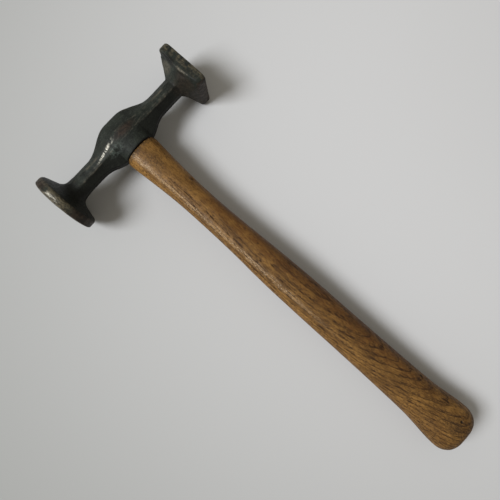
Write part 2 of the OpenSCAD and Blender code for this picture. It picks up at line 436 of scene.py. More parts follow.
def skin(field, low, high, step):
    """Closed quad mesh where field is 0, from one point in each cell that the surface crosses."""
    axes = [np.arange(a, b + step, step) for a, b in zip(low, high)]
    shape = tuple(len(a) for a in axes)
    inside = np.zeros(shape, bool)
    for i, x in enumerate(axes[0]):
        plane = np.stack(np.meshgrid([x], axes[1], axes[2], indexing="ij"), -1).reshape(-1, 3)
        inside[i] = (field(plane) < 0).reshape(shape[1:])
    corners = np.zeros(tuple(n - 1 for n in shape), int)
    for c in np.ndindex(2, 2, 2):
        corners += inside[tuple(slice(s, n - 1 + s) for s, n in zip(c, shape))]
    crossed = (corners > 0) & (corners < 8)
    number = np.full(crossed.shape, -1)
    number[crossed] = np.arange(crossed.sum())
    points = np.array(low) + (np.argwhere(crossed) + 0.5) * step
    quads = []
    for axis in range(3):
        u, v = (axis + 1) % 3, (axis + 2) % 3
        ends = [[slice(1, -1)] * 3 for _ in range(2)]
        ends[0][axis], ends[1][axis] = slice(0, -1), slice(1, None)
        start, end = inside[tuple(ends[0])], inside[tuple(ends[1])]
        for leaving in (True, False):
            at = np.argwhere((start & ~end) if leaving else (~start & end))
            at[:, u] += 1
            at[:, v] += 1
            ring = []
            for du, dv in ((1, 1), (0, 1), (0, 0), (1, 0)):
                cell = at.copy()
                cell[:, u] -= du
                cell[:, v] -= dv
                ring.append(number[tuple(cell.T)])
            quads.append(np.stack(ring if leaving else ring[::-1], 1))
    quads = np.concatenate(quads)
    near = neighbours(quads, len(points))
    points = settle(field, points, rounds=3)
    for _ in range(SMOOTHINGS):
        points = settle(field, near(points), rounds=2)
    return points, quads


def neighbours(quads, count):
    """Function that gives each point's mean over the points that it shares an edge with."""
    a = quads.ravel()
    b = np.roll(quads, -1, axis=1).ravel()
    degree = np.bincount(a, minlength=count) + np.bincount(b, minlength=count)

    def mean(values):
        sums = [
            np.bincount(a, weights=v[b], minlength=count) + np.bincount(b, weights=v[a], minlength=count)
            for v in values.reshape(count, -1).T
        ]
        return (np.stack(sums, 1) / degree[:, None]).reshape(values.shape)

    return mean


def gradient(field, p, reach=0.02):
    return np.stack([(field(p + d) - field(p - d)) / (2 * reach) for d in np.eye(3) * reach], 1)


def settle(field, p, rounds, flattest=0.04, longest=0.5):
    """Points moved onto the surface where field is 0, by about longest at most in each round."""
    for _ in range(rounds):
        g = gradient(field, p)
        move = field(p) / np.maximum((g * g).sum(1), flattest)
        p = p - g * np.clip(move, -longest, longest)[:, None]
    return p


def unit(v):
    return v / np.maximum(np.linalg.norm(v, axis=1), 1e-9)[:, None]


# Shape of the head


def flare_share(x):
    """How far the square flare has spread at each x, from 0 at the neck to 1 at the plate."""
    u = np.clip((x - FLARE_START) / PLATE_FLARE, 0, 1)
    return u * u / (u + FLARE_HOLLOW) * (1 + FLARE_HOLLOW)


def worn_rise(x, step, start, end):
    """Step over the places from start to end on both sides of the middle, with its bends worn round."""
    shifts = np.linspace(-1, 1, SWELL_SAMPLES) * SWELL_WORN
    return sum(step((start - np.abs(x + shift)) / (start - end)) for shift in shifts) / SWELL_SAMPLES


def octagon(p):
    """Necks, eye body and square flare, from the eight facets of the section at each x."""
    x, y, z = p[:, 0], p[:, 1], np.abs(p[:, 2])
    swell = worn_rise(x, ease, SWELL_L / 2, CREST_L / 2)
    cheek = worn_rise(x, ease, SWELL_L / 2, 0)
    drop = worn_rise(x, lambda u: np.clip(u, 0, 1), FLANK_L / 2, BOSS_L / 2)
    boss = np.sqrt(np.maximum(1 - (2 * x / BOSS_L) ** 2, 0))
    flare = flare_share(x)
    half = mix(NECK_HALF, PLATE_HALF - PLATE_BEVEL, flare)
    flat = mix(NECK_FLAT, half - PLATE_CORNER, flare)
    ridge = mix(NECK_FLAT, FAR_RIDGE, flare)
    crest = mix(half, CREST_RISE, swell), mix(mix(NECK_FLAT, FAR_CORNER, flare), CREST_HALF, swell)
    panel = mix(flat, PANEL_HALF, cheek), mix(half, BODY_HALF, cheek)
    far_panel = mix(ridge, PANEL_HALF, cheek), panel[1]
    low = mix(half, BOSS_DROP, drop), np.maximum(flat, BOSS_HALF * boss)

    def beyond(from_y, from_z, to_y, to_z):
        dy, dz = to_y - from_y, to_z - from_z
        return ((y - from_y) * dz - (z - from_z) * dy) / np.hypot(dy, dz)

    solid = round_max(y - crest[0], beyond(*crest, *far_panel), RIDGE_WORN)
    solid = round_max(solid, z - panel[1], RIDGE_WORN)
    worn = mix(RIDGE_WORN, FLARE_WORN, smooth(flare / FLARE_WORN_BY))
    solid = round_max(solid, beyond(-panel[0], panel[1], -low[0], low[1]), worn)
    return round_max(solid, -low[0] - y, worn)


def disc(p):
    """The round face's disc with its hollow back."""
    h, r = -p[:, 0], np.hypot(p[:, 1], p[:, 2])
    rise = np.clip(h - DISC_FLARE_AT, 0, ARC_RISE)
    root = np.sqrt(DISC_FLARE**2 - rise**2)
    past = np.maximum(h - DISC_FLARE_AT - ARC_RISE, 0)
    before = np.maximum(DISC_FLARE_AT - h, 0)
    outline = FLARE_FOOT + DISC_FLARE - root + past / math.tan(DISC_SLOPE) - before * DISC_TAPER
    back = (r - outline) / np.hypot(1, rise / root)
    face = h - ROUND_REACH + DISC_CROWN * (r / (DISC_R - DISC_EDGE)) ** 2
    return round_max(round_max(back, r - DISC_R, DISC_BACK_WORN), face, DISC_EDGE)


def plate(p):
    """The square face's plate with its bowed and worn back edge."""
    x, y = p[:, 0], p[:, 1]
    corner = PLATE_CORNER + CORNER_WORN
    q = np.abs(p[:, 1:]) - (PLATE_HALF - corner)
    side = np.hypot(*np.maximum(q, 0).T) + np.minimum(q.max(1), 0) - corner
    back = PLATE_BACK - PLATE_BOW * smooth(1 - np.abs(y - BOW_MID) / BOW_REACH) - x
    worn = PLATE_WORN + CORNER_ROUND * smooth((np.abs(y) - CORNER_FROM) / CORNER_RUN)
    return round_max(round_max(side, x - SQUARE_REACH, worn), back, worn)


def eye(p):
    """The oval hole for the handle, which spreads towards the crest."""
    spread = EYE_SPREAD * (p[:, 1] + BOSS_DROP) / (CREST_RISE + BOSS_DROP)
    run = (EYE_L - EYE_W) / 2
    return np.hypot(np.maximum(np.abs(p[:, 0]) - run, 0), p[:, 2]) - EYE_W / 2 - spread


def head_field(p):
    x = p[:, 0]
    forging = np.maximum(octagon(p), np.maximum(x - PLATE_BACK - PLATE_OVERLAP, -x - DISC_BACK))
    solid = blend_min(forging, disc(p), DISC_FILLET)
    solid = blend_min(solid, plate(p), PLATE_FILLET)
    return round_max(solid, -eye(p), EYE_WORN)


# Shape of the handle


def quarter(u):
    """How far a quarter circle has dropped at u, from 0 at 0 to 1 at 1."""
    return 1 - np.sqrt(1 - np.clip(u, 0, 1) ** 2)


def half_size(pairs, d):
    """Half width or half thickness at distance d from the shoulder."""
    shoulder = SHOULDER_IN * quarter(1 - d / SHOULDER_ROUND)
    butt = 1 - (1 - BUTT_TIP) * quarter(1 - (HANDLE_L - d) / BUTT_ROUND)
    return (curve(pairs, d) / 2 - shoulder) * butt


def slab(along, across, y, t, d, w):
    """Wedge from the tenon's end down: t thick, d deep and w wide."""
    depth = TENON_TOP - y
    half = t / 2 * (1 - (1 - WEDGE_TIP) * depth / d)
    return np.maximum(np.maximum(np.abs(along) - half, np.abs(across) - w / 2), depth - d)


def wood_slab(p):
    return slab(p[:, 2], p[:, 0], p[:, 1], WOOD_WEDGE_T, WOOD_WEDGE_D, 2 * EYE_L)


def steel_slab(p, side):
    along = p[:, 0] - side * STEEL_WEDGE_AT
    return slab(along, p[:, 2], p[:, 1], STEEL_WEDGE_T, STEEL_WEDGE_D, STEEL_WEDGE_W)


def tenon(p):
    top = round_max(eye(p) + FIT_GAP, p[:, 1] - TENON_TOP, TENON_WORN)
    return np.maximum(top, SHOULDER_Y - TENON_SUNK - p[:, 1])


def shaft(p):
    """The handle below the head, oval all along."""
    x, y, z = p.T
    d = np.clip(SHOULDER_Y - y, 0, HANDLE_L)
    w, t = half_size(WIDTHS, d), half_size(THICKNESSES, d)
    share = (np.abs(x / w) ** OVAL_POWER + np.abs(z / t) ** OVAL_POWER) ** (1 / OVAL_POWER)
    out = np.hypot(x, z)
    side = out - out / np.maximum(share, 1e-6)
    side = round_max(side, y - SHOULDER_Y, SHOULDER_WORN)
    return round_max(side, SHOULDER_Y - HANDLE_L - y, BUTT_WORN)


def handle_field(p):
    solid = np.minimum(shaft(p), tenon(p))
    for slot in (wood_slab(p), steel_slab(p, -1), steel_slab(p, 1)):
        solid = np.maximum(solid, -slot)
    for x, y, radius, depth in DENTS:
        w, t = (half_size(pairs, SHOULDER_Y - y) for pairs in (WIDTHS, THICKNESSES))
        z = t * (1 - (abs(x) / w) ** OVAL_POWER) ** (1 / OVAL_POWER)
        ball = radius - np.linalg.norm(p - (x, y, z + radius - depth), axis=1)
        solid = round_max(solid, ball, DENT_WORN)
    return solid


# How the hammer lies


def bench():
    """Turn and place, in millimetres, of the hammer tipped onto its disc, its plate's edge and its butt."""
    disc_x = -(DISC_BACK + DISC_BACK_EDGE)
    plate_x, plate_y = SQUARE_REACH - PLATE_BEVEL, PLATE_HALF - PLATE_CORNER
    span = plate_x - disc_x
    d = np.linspace(GRIP_AT, HANDLE_L, num=400)
    gap = DISC_R - half_size(THICKNESSES, d) + disc_x * (DISC_R - PLATE_HALF) / span
    pitch = np.arcsin(gap / (d - SHOULDER_Y + disc_x * plate_y / span)).min()
    roll = math.atan((DISC_R - PLATE_HALF - plate_y * math.sin(pitch)) / span)
    lift = DISC_R * math.cos(roll) + disc_x * math.sin(roll)
    mid_x = (
        SQUARE_REACH * math.cos(roll)
        + PLATE_HALF * math.sin(roll)
        - ROUND_REACH * math.cos(roll)
        - DISC_CROWN * math.sin(roll)
    ) / 2
    mid_y = (DISC_R - (HANDLE_L - SHOULDER_Y) * math.cos(pitch)) / 2
    tip = Matrix.Rotation(roll, 4, "Y") @ Matrix.Rotation(pitch, 4, "X")
    return np.array(tip.to_3x3()), np.array((-mid_x, -mid_y, lift))


BENCH_TURN, BENCH_PLACE = bench()


def piece(name, points, faces, material, slot, *nodes, **attributes):
    """Mesh of upright points in millimetres, laid on the bench in place of the CAD nodes."""
    mesh = bpy.data.meshes.new(name)
    mesh.from_pydata(((points @ BENCH_TURN.T + BENCH_PLACE) * MM).tolist(), [], faces.tolist())
    attributes["place"] = points
    mesh.polygons.foreach_set("use_smooth", [True] * len(mesh.polygons))
    for key, values in attributes.items():
        kind, field = ("FLOAT", "value") if values.ndim == 1 else ("FLOAT_VECTOR", "vector")
        mesh.attributes.new(key, kind, "POINT").data.foreach_set(field, values.astype(np.float32).ravel())
    mesh.validate()
    mesh.materials.append(material)
    obj = bpy.data.objects.new(name, mesh)
    bpy.context.scene.collection.objects.link(obj)
    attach(obj, "root")
    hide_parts(*nodes)


# Shader nodes


class Shader:
    """Short calls that add nodes to one material."""

    def __init__(self, name):
        self.material = bpy.data.materials.new(name)
        self.material.use_nodes = True
        self.nodes = self.material.node_tree.nodes
        self.links = self.material.node_tree.links
        self.surface = self.nodes["Principled BSDF"]

    def add(self, kind, **settings):
        node = self.nodes.new("ShaderNode" + kind)
        for key, value in settings.items():
            setattr(node, key, value)
        return node

    def put(self, socket, value):
        if isinstance(value, bpy.types.NodeSocket):
            self.links.new(value, socket)
        elif value is not None:
            socket.default_value = value

    def vector(self, operation, a, b=None):
        node = self.add("VectorMath", operation=operation)
        self.put(node.inputs[0], a)
        self.put(node.inputs[1], b)
        return node.outputs["Value" if operation in ("DOT_PRODUCT", "LENGTH") else "Vector"]

    def math(self, operation, a, b=None):
        node = self.add("Math", operation=operation)
        self.put(node.inputs[0], a)
        self.put(node.inputs[1], b)
        return node.outputs[0]

    def product(self, first, *others):
        for other in others:
            first = self.math("MULTIPLY", first, other)
        return first

    def attribute(self, name, output="Fac"):
        return self.add("Attribute", attribute_name=name).outputs[output]

    def noise(self, vector, size, detail=3.0, roughness=0.55):
        """Noise around 0.5 with features of about that size, in the vector's units."""
        node = self.add("TexNoise")
        self.put(node.inputs["Vector"], vector)
        node.inputs["Scale"].default_value = 1 / size
        node.inputs["Detail"].default_value = detail
        node.inputs["Roughness"].default_value = roughness
        return node.outputs["Fac"]

    def stretch(self, vector, *scale):
        return self.vector("MULTIPLY", vector, scale)

    def span(self, value, low, high, to_low=0.0, to_high=1.0):
        """value from low to high, taken smoothly to another span and held there."""
        node = self.add("MapRange", interpolation_type="SMOOTHSTEP")
        self.put(node.inputs["Value"], value)
        for key, end in (("From Min", low), ("From Max", high), ("To Min", to_low), ("To Max", to_high)):
            self.put(node.inputs[key], end)
        return node.outputs["Result"]

    def colour(self, share, a, b):
        """Colour that goes from a to b with share. Each is an output of a node or an 8-bit colour."""
        node = self.add("Mix", data_type="RGBA")
        self.put(node.inputs["Factor"], share)
        for key, value in (("A", a), ("B", b)):
            socket = next(s for s in node.inputs if s.name == key and s.type == "RGBA")
            self.put(socket, linear(value) if isinstance(value, tuple) else value)
        return next(s for s in node.outputs if s.type == "RGBA")

    def number(self, share, a, b):
        """Number that goes from a to b with share."""
        node = self.add("Mix", data_type="FLOAT")
        self.put(node.inputs["Factor"], share)
        self.put(node.inputs["A"], a)
        self.put(node.inputs["B"], b)
        return node.outputs["Result"]

    def bump(self, height, depth, normal=None):
        """Normal of a relief of that depth in millimetres."""
        node = self.add("Bump")
        self.put(node.inputs["Height"], height)
        node.inputs["Distance"].default_value = depth * MM
        self.put(node.inputs["Normal"], normal)
        return node.outputs["Normal"]

    def finish(self, colour, roughness, metallic=0.0, normal=None):
        self.put(self.surface.inputs["Base Color"], colour)
        self.put(self.surface.inputs["Roughness"], roughness)
        self.put(self.surface.inputs["Metallic"], metallic)
        self.put(self.surface.inputs["Normal"], normal)
        return self.material


def linear(colour):
    """Linear colour and full alpha of an 8-bit colour."""
    parts = [(c / 255 / 12.92) if c <= 10 else ((c / 255 + 0.055) / 1.055) ** 2.4 for c in colour]
    return (*parts, 1.0)


def forged_steel():
    """Dark scale with rust, brown, painted shade, a painted sheen, a painted lit facet and dirt, and bare
    metal where the attributes say so.
    """
    s = Shader("forged_steel")
    place = s.attribute("place", "Vector")
    broad = s.noise(place, 8.0, detail=3)
    mottle = s.noise(place, 2.4, detail=5, roughness=0.65)
    fine = s.noise(place, 0.7, detail=4, roughness=0.7)
    scratch = s.noise(s.stretch(place, 1.0, 0.1, 0.1), 0.3, detail=3, roughness=0.6)
    cross = s.noise(s.stretch(place, 0.5, 0.12, 0.5), 0.4, detail=3, roughness=0.6)
    along = s.noise(s.stretch(place, 0.12, 1.0, 0.5), 0.6, detail=3, roughness=0.6)
    colour = s.colour(s.span(broad, 0.35, 0.65), SCALE_DEEP, SCALE_PLAIN)
    colour = s.colour(s.span(mottle, 0.5, 0.72, 0, 0.35), colour, SCALE_MOTTLE)
    colour = s.colour(s.span(along, 0.56, 0.7, 0, 0.3), colour, SCALE_STREAK)
    colour = s.colour(s.span(fine, 0.48, 0.36, 0, 0.6), colour, SCALE_PIT)
    colour = s.colour(s.span(fine, 0.54, 0.68, 0, 0.35), colour, SCALE_GRAIN)
    # Painted shade on the facets towards the handle, away from the window, and on the disc
    colour = s.colour(s.product(s.attribute("painted_shade"), 0.75), colour, PAINTED_SHADE_COLOUR)
    rust = s.colour(s.span(mottle, 0.4, 0.6), RUST_DEEP, RUST_PLAIN)
    colour = s.colour(s.product(s.attribute("rust"), s.span(fine, 0.36, 0.5, 0.75, 1.0)), colour, rust)
    brown = s.colour(s.span(cross, 0.38, 0.62), BROWN_DEEP, BROWN_PALE)
    colour = s.colour(s.product(s.attribute("brown"), s.span(mottle, 0.34, 0.5, 0.6, 1.0)), colour, brown)
    # Painted sheen of the room's reflection on the cheek's handle-side facet
    sheen = s.product(s.attribute("sheen"), s.span(fine, 0.4, 0.62, 0.15, 1.0))
    colour = s.colour(sheen, colour, SHEEN)
    # Worn edges and ridges, with a painted lit facet on the flare where it faces the window
    edge = s.product(s.attribute("edge"), s.span(along, 0.36, 0.6, 0.25, 1.0))
    colour = s.colour(edge, colour, EDGE_STEEL)
    bare = s.product(s.attribute("bare"), s.span(s.math("ADD", scratch, cross), 0.85, 1.08, 0.1, 1.0))
    face = s.product(s.attribute("face"), s.span(s.math("ADD", fine, broad), 0.8, 1.1, 0.55, 0.9))
    colour = s.colour(face, colour, FACE_STEEL)
    colour = s.colour(bare, colour, BARE_STEEL)
    # Dirt, darker hollows, and painted shade around the eye and along the boss's foot
    colour = s.colour(s.attribute("dirt_and_shade"), colour, STEEL_DIRT_AND_SHADE)
    polish = s.math("MAXIMUM", bare, face)
    metallic = s.math("MAXIMUM", s.product(polish, 0.6), s.product(edge, 0.3))
    rough = s.number(polish, s.span(mottle, 0.35, 0.7, 0.6, 0.44), s.span(scratch, 0.3, 0.7, 0.3, 0.45))
    normal = s.bump(scratch, 0.03, s.bump(fine, 0.16, s.bump(mottle, 0.26)))
    s.surface.inputs["Specular IOR Level"].default_value = STEEL_SPECULAR
    return s.finish(colour, rough, metallic, normal)


def handle_wood():
    """Ring-porous wood: rings and pores follow the fibres; wear, dirt, a painted highlight and painted
    shade follow the attributes.
    """
    s = Shader("handle_wood")
    place = s.attribute("place", "Vector")
    grain = s.attribute("grain", "Vector")
    ring = s.product(s.vector("DOT_PRODUCT", grain, (RING_LEAN, 0.0, 1.0)), 1 / RING)
    waver = s.noise(s.stretch(grain, 1, 0.06, 1), 8.0, detail=2)
    ring = s.math("ADD", ring, s.product(waver, 1.2))
    phase = s.math("FRACT", ring)
    porous = s.product(s.span(phase, 0.0, 0.08), s.span(phase, 0.55, 0.2))
    line = s.product(s.span(phase, 0.0, 0.05), s.span(phase, 0.22, 0.1))
    fibre = s.noise(s.stretch(grain, 1, 0.09, 1), 0.5, detail=4, roughness=0.65)
    broken = s.noise(s.stretch(grain, 1, 0.12, 1), 1.3, detail=4, roughness=0.7)
    pore = s.noise(s.stretch(grain, 1, 0.2, 1), 0.9, detail=2, roughness=0.5)
    small = s.noise(s.stretch(grain, 1, 0.24, 1), 0.5, detail=1, roughness=0.5)
    patch = s.noise(s.stretch(place, 1, 0.4, 1), 6.0, detail=5, roughness=0.65)
    crowd = s.noise(s.stretch(grain, 1, 0.3, 1), 5.0, detail=3, roughness=0.6)
    speck = s.noise(s.stretch(place, 1, 0.5, 1), 0.8, detail=3, roughness=0.7)
    pores = s.math("MAXIMUM", s.span(pore, 0.53, 0.59), s.span(small, 0.56, 0.62, 0, 0.8))
    often = s.product(s.number(porous, 0.45, 1.0), s.span(crowd, 0.3, 0.52, 0.3, 1.0))
    dashes = s.product(pores, often, s.attribute("open"))
    lines = s.product(line, s.span(broken, 0.42, 0.56), s.attribute("open"))
    dark = s.math("MAXIMUM", dashes, s.product(lines, 0.8))
    colour = s.colour(s.span(patch, 0.34, 0.66), WOOD_PLAIN, WOOD_BROWN)
    # Redder wood with painted shade on the side away from the window
    red_and_shade = s.product(s.attribute("red_and_shade"), s.span(broken, 0.35, 0.6, 0.5, 1))
    colour = s.colour(red_and_shade, colour, WOOD_RED_AND_SHADE)
    gold = s.product(s.attribute("gold"), s.span(speck, 0.6, 0.4))
    colour = s.colour(gold, colour, WOOD_GOLD)
    crowded = s.span(crowd, 0.36, 0.6, 0.5, 1)
    # Painted highlight: a broken streak of the window's reflection
    painted_highlight = s.product(s.attribute("painted_highlight"), s.span(fibre, 0.38, 0.6, 0.3, 1.0), crowded)
    colour = s.colour(painted_highlight, colour, WOOD_PAINTED_HIGHLIGHT)
    colour = s.colour(s.span(broken, 0.5, 0.3, 0, 0.45), colour, WOOD_SHADE)
    colour = s.colour(s.span(fibre, 0.5, 0.72, 0, 0.5), colour, FIBRE_PALE)
    colour = s.colour(s.span(fibre, 0.48, 0.32, 0, 0.6), colour, FIBRE_DARK)
    colour = s.colour(s.product(porous, 0.3, s.attribute("open")), colour, POROUS_WOOD)
    colour = s.colour(s.product(dark, 0.9), colour, PORE)
    colour = s.colour(s.span(speck, 0.54, 0.66, 0, 0.6), colour, WOOD_SPECK)
    # Painted glints of the window within the painted highlight
    spark = s.noise(s.stretch(place, 1, 0.6, 1), 0.55, detail=2)
    glint = s.product(s.attribute("painted_highlight"), s.span(spark, 0.56, 0.66))
    colour = s.colour(s.product(glint, 0.7), colour, WOOD_GLINT)
    # Dirt at the tenon's end, at the butt and in some spots, and painted shade at the shoulder
    clod = s.noise(place, 1.1, detail=4, roughness=0.7)
    dirt_and_shade_share = s.product(s.attribute("dirt_and_shade"), s.span(clod, 0.36, 0.6))
    colour = s.colour(dirt_and_shade_share, colour, WOOD_DIRT_AND_SHADE)
    rough = s.number(dark, s.span(s.math("ADD", speck, fibre), 0.8, 1.2, 0.42, 0.6), 0.75)
    normal = s.bump(fibre, 0.08, s.bump(s.math("SUBTRACT", 1.0, s.math("MAXIMUM", dark, dirt_and_shade_share)), 0.15))
    s.surface.inputs["Specular IOR Level"].default_value = WOOD_SPECULAR
    return s.finish(colour, rough, normal=normal)


def wedge_wood():
    s = Shader("wedge_wood")
    place = s.attribute("place", "Vector")
    fibre = s.noise(s.stretch(place, 1, 0.05, 1), 0.4, detail=3)
    colour = s.colour(s.span(fibre, 0.35, 0.65), END_GRAIN_PALE, END_GRAIN_DARK)
    return s.finish(colour, 0.7, normal=s.bump(fibre, 0.1))


def wedge_steel():
    s = Shader("wedge_steel")
    grain = s.noise(s.attribute("place", "Vector"), 0.8, detail=4, roughness=0.65)
    colour = s.colour(s.span(grain, 0.4, 0.62), WEDGE_GREY, WEDGE_RUST)
    rough = s.span(grain, 0.4, 0.6, 0.4, 0.65)
    return s.finish(colour, rough, metallic=0.6, normal=s.bump(grain, 0.1))


# Pieces


def spot(p, centre, radii):
    """1 at the middle of a soft ellipsoid, 0 outside it."""
    return smooth(1.4 * (1 - np.linalg.norm((p - np.array(centre)) / radii, axis=1)))


def relief(p, quads, normal, step, reach):
    """How far each point stands out of its surroundings within reach, in millimetres."""
    near = neighbours(quads, len(p))
    mean = p
    for _ in range(round((reach / step) ** 2)):
        mean = near(mean)
    return ((p - mean) * normal).sum(1)


def uneven(p, kinds, stretches, seeds, sunk):
    """Height of the surface's unevenness at points p, from a broad and a fine noise, less sunk."""
    (deep, wide), (shallow, narrow) = kinds
    broad = deep * noise(p * stretches[0], wide, seeds[0])
    fine = shallow * noise(p * stretches[1], narrow, seeds[1])
    return broad + fine - sunk


def head_masks(p, normal, stands):
    """How much of each kind of wear, dirt, painted shade and painted light the head has at each point, from
    0 to 1.
    """
    x, y, z = p.T
    ragged = 2 * noise(p, 2.0, seed=3) + noise(p, 0.9, seed=4)
    upper_side = smooth(z)

    # The disc's rim
    rim = smooth((np.hypot(y, z) - DISC_R + RIM_BAND) / 0.8) * smooth((-x - DISC_BACK - RIM_FROM) / 1.2)
    off_middle = np.abs(x + 0.5 * (ROUND_REACH + DISC_BACK) + PATCH_OFF)
    patch = rim * smooth((PATCH_HALF - off_middle + 0.3 * ragged) / PATCH_HALF)
    patch = patch * smooth((z - PATCH_FROM_Z) / 4)
    patch = patch * smooth((y - PATCH_Y[0] + 0.6 * ragged) / 4) * smooth((PATCH_Y[1] - y + ragged) / 4)
    olive = rim * smooth((y - OLIVE_Y[0] + 0.5 * ragged) / 9) * smooth((OLIVE_Y[1] - y + ragged) / 6)
    rusty = np.maximum(smooth((y - RIM_RUST_Y[1] + ragged) / 6), smooth((RIM_RUST_Y[0] - y + ragged) / 6))

    # The necks and the eye body
    along = x - STREAK_X
    streak = np.abs(y - STREAK_Y - STREAK_SLOPE * along + 0.12 * ragged)
    streak = streak / (STREAK_HALF + STREAK_WIDENS * along)
    scuff = smooth(1.6 - streak) * smooth((STREAK_REACH - np.abs(along)) / 4)
    scuff = scuff * upper_side * smooth(0.6 + 0.6 * ragged)
    spindle = SPINDLE_HALF + SPINDLE_BOW * smooth((SPINDLE_REACH - np.abs(x - SPINDLE_X)) / 15)
    lines = smooth(1.3 - np.abs(np.abs(y - LINES_Y) - spindle) / LINES_HALF)
    lines = lines * upper_side * smooth((LINES_END - np.abs(x)) / 6)
    to_handle = smooth((-normal[:, 1] - 0.1) / 0.8)

    # The plate
    strip = smooth((x - PLATE_BACK + PLATE_BOW) / 1.5)
    top = strip * smooth(z - PLATE_HALF + TOP_STRIP)
    side = strip * smooth((-y - PLATE_HALF + SIDE_STRIP) / 2) * (1 - top)
    back_ridge = top * smooth(1 - np.abs(x - PLATE_BACK + BACK_RIDGE_OFF) / BACK_RIDGE_HALF)
    back_ridge = back_ridge * smooth((BACK_RIDGE_REACH - np.abs(y - BACK_RIDGE_Y)) / 3)

    masks = {
        "bare": 0.85 * patch + 0.9 * scuff,
        "face": smooth((-x - ROUND_REACH + ROUND_POLISH) / 0.5)
        + smooth((x - SQUARE_REACH + SQUARE_POLISH) / 0.4),
        "brown": 0.9 * olive
        + 0.75 * top * smooth(0.5 + 0.6 * ragged) * smooth((x - PLATE_BACK - BROWN_FROM) / 4),
        "rust": 0.8 * (rim * rusty)
        + 0.8 * side
        + 0.85 * spot(p, *CHEEK_RUST)
        + 0.5 * smooth((x - NECK_RUST_FROM) / 8) * smooth((NECK_RUST_TO_Y - y) / 6) * (1 - strip),
        # Painted sheen on the cheek's handle-side facet
        "sheen": spot(p, *CHEEK_SHEEN) * smooth(0.5 + 0.6 * ragged),
        # Worn edges and ridges, and in the last line a painted lit facet on the flare where it faces the
        # window
        "edge": smooth((stands - 0.08) / 0.1) * (0.22 + 0.2 * ragged) * smooth((y - EDGE_WORN_FROM_Y) / 1.5)
        + 0.9 * back_ridge * smooth(0.3 + ragged)
        + 0.42 * lines * smooth(0.45 + 0.5 * ragged)
        + 0.6 * spot(p, *FLARE_PAINTED_LIGHT) * smooth((normal[:, 1] - 0.1) / 0.3),
        # Painted shade on the facets that face the handle's side, away from the window, and over the disc
        # but not its rim
        "painted_shade": to_handle * smooth((PAINTED_SHADE_X[1] - x) / 14) * smooth((x - PAINTED_SHADE_X[0]) / 8)
        + 0.75 * smooth((-x - DISC_PAINTED_SHADE_FROM) / 6),
        # Darker in the hollows, dirt in the gouge at the plate's far corner, and painted shade around the
        # eye and along the boss's foot where the handle goes in
        "dirt_and_shade": 0.5 * smooth((-stands - 0.04) / 0.2)
        + 0.8 * spot(p, *FLARE_GRIME)
        + smooth((EYE_SHADE - eye(p)) / EYE_SHADE)
        + smooth((-y - BOSS_DROP + BOSS_SHADE) / 1.2) * smooth((BOSS_SHADE_HALF - np.abs(x)) / 2),
    }
    masks["painted_shade"] *= 1 - rim
    return {key: np.clip(value, 0, 1) for key, value in masks.items()}


def make_head(material):
    step = HEAD_STEP
    low = (-ROUND_REACH - MARGIN, -DISC_R - MARGIN, -DISC_R - MARGIN)
    high = (SQUARE_REACH + MARGIN, DISC_R + MARGIN, DISC_R + MARGIN)
    p, quads = skin(head_field, low, high, step)
    normal = unit(gradient(head_field, p))
    clear = smooth(eye(p) / STEEL_EVEN)
    height = uneven(p, STEEL_UNEVEN, (1, 1), (1, 2), STEEL_SUNK)
    p = p + normal * (height * clear)[:, None]
    stands = relief(p, quads, normal, step, RELIEF_REACH)
    masks = head_masks(p, normal, stands)
    piece("hammer_head", p, quads, material, "forged_steel", "head", **masks)


def fibre_shift(d):
    """How far the fibres have run sideways, and up, at distance d from the shoulder."""
    u = np.clip((d - TURN_FROM) / TURN_L, 0, 1)
    bend = TURN_L * (u**3 - u**4 / 2) + np.maximum(d - TURN_FROM - TURN_L, 0)
    return FIBRE_SLANT * d + TURN_SIDE * bend, TURN_UP * bend


def handle_masks(p):
    """How much of each colour, wear, dirt, painted highlight and painted shade the handle has at each
    point, from 0 to 1.
    """
    x, y, z = p.T
    d = SHOULDER_Y - y
    ragged = noise(p, 4.0, seed=13)
    left = smooth((OPEN_LEFT_X - x + ragged) / 3)
    # Painted highlight: the window's reflection along the upper left side, fading towards the butt
    painted_highlight = 0.8 * smooth(1.3 - np.abs(x - HIGHLIGHT_STREAK_X + 0.6 * ragged) / 1.6)
    gold = smooth((GOLD_X - x + 0.8 * ragged) / 1.6) * smooth((z - GOLD_Z) / 3)
    # Redder wood with painted shade on the side away from the window
    red_and_shade = smooth((x - RED_X + 4 * ragged) / 9)
    masks = {
        "painted_highlight": painted_highlight * smooth((HIGHLIGHT_STREAK_END - d) / 60) * smooth(z),
        "gold": gold * smooth((GOLD_END - d) / 60)
        + 0.45 * smooth((SHOULDER_GOLD_END - d) / 35) * smooth(0.6 + 0.5 * ragged)
        + 0.35 * smooth((d - BUTT_GOLD_FROM) / 40) * smooth(0.5 + 0.7 * ragged),
        "open": smooth((d - OPEN_FROM + 15 * ragged) / 50)
        + 0.9 * left * smooth((d - OPEN_LEFT_FROM) / 30)
        + 0.1,
        "red_and_shade": red_and_shade * smooth((d - RED_FROM) / 60) * smooth((RED_END - d) / 70) * 0.8,
        # Painted shade at the shoulder where it meets the head, and dirt at the tenon's end, at the butt
        # and in some spots
        "dirt_and_shade": smooth((SHOULDER_SHADE - d) / SHOULDER_SHADE)
        + smooth((y - CREST_RISE + TENON_DIRT) / 2)
        + 0.7 * smooth((d - HANDLE_L + BUTT_DIRT) / BUTT_DIRT)
        + 0.35 * spot(p, *SHOULDER_GRIME)
        + 0.6 * spot(p, *BUTT_GRIME)
        + 3 * spot(p, *DENT_GRIME),
    }
    for key in ("open", "dirt_and_shade"):
        masks[key] = np.clip(masks[key], 0, 1)
    return masks


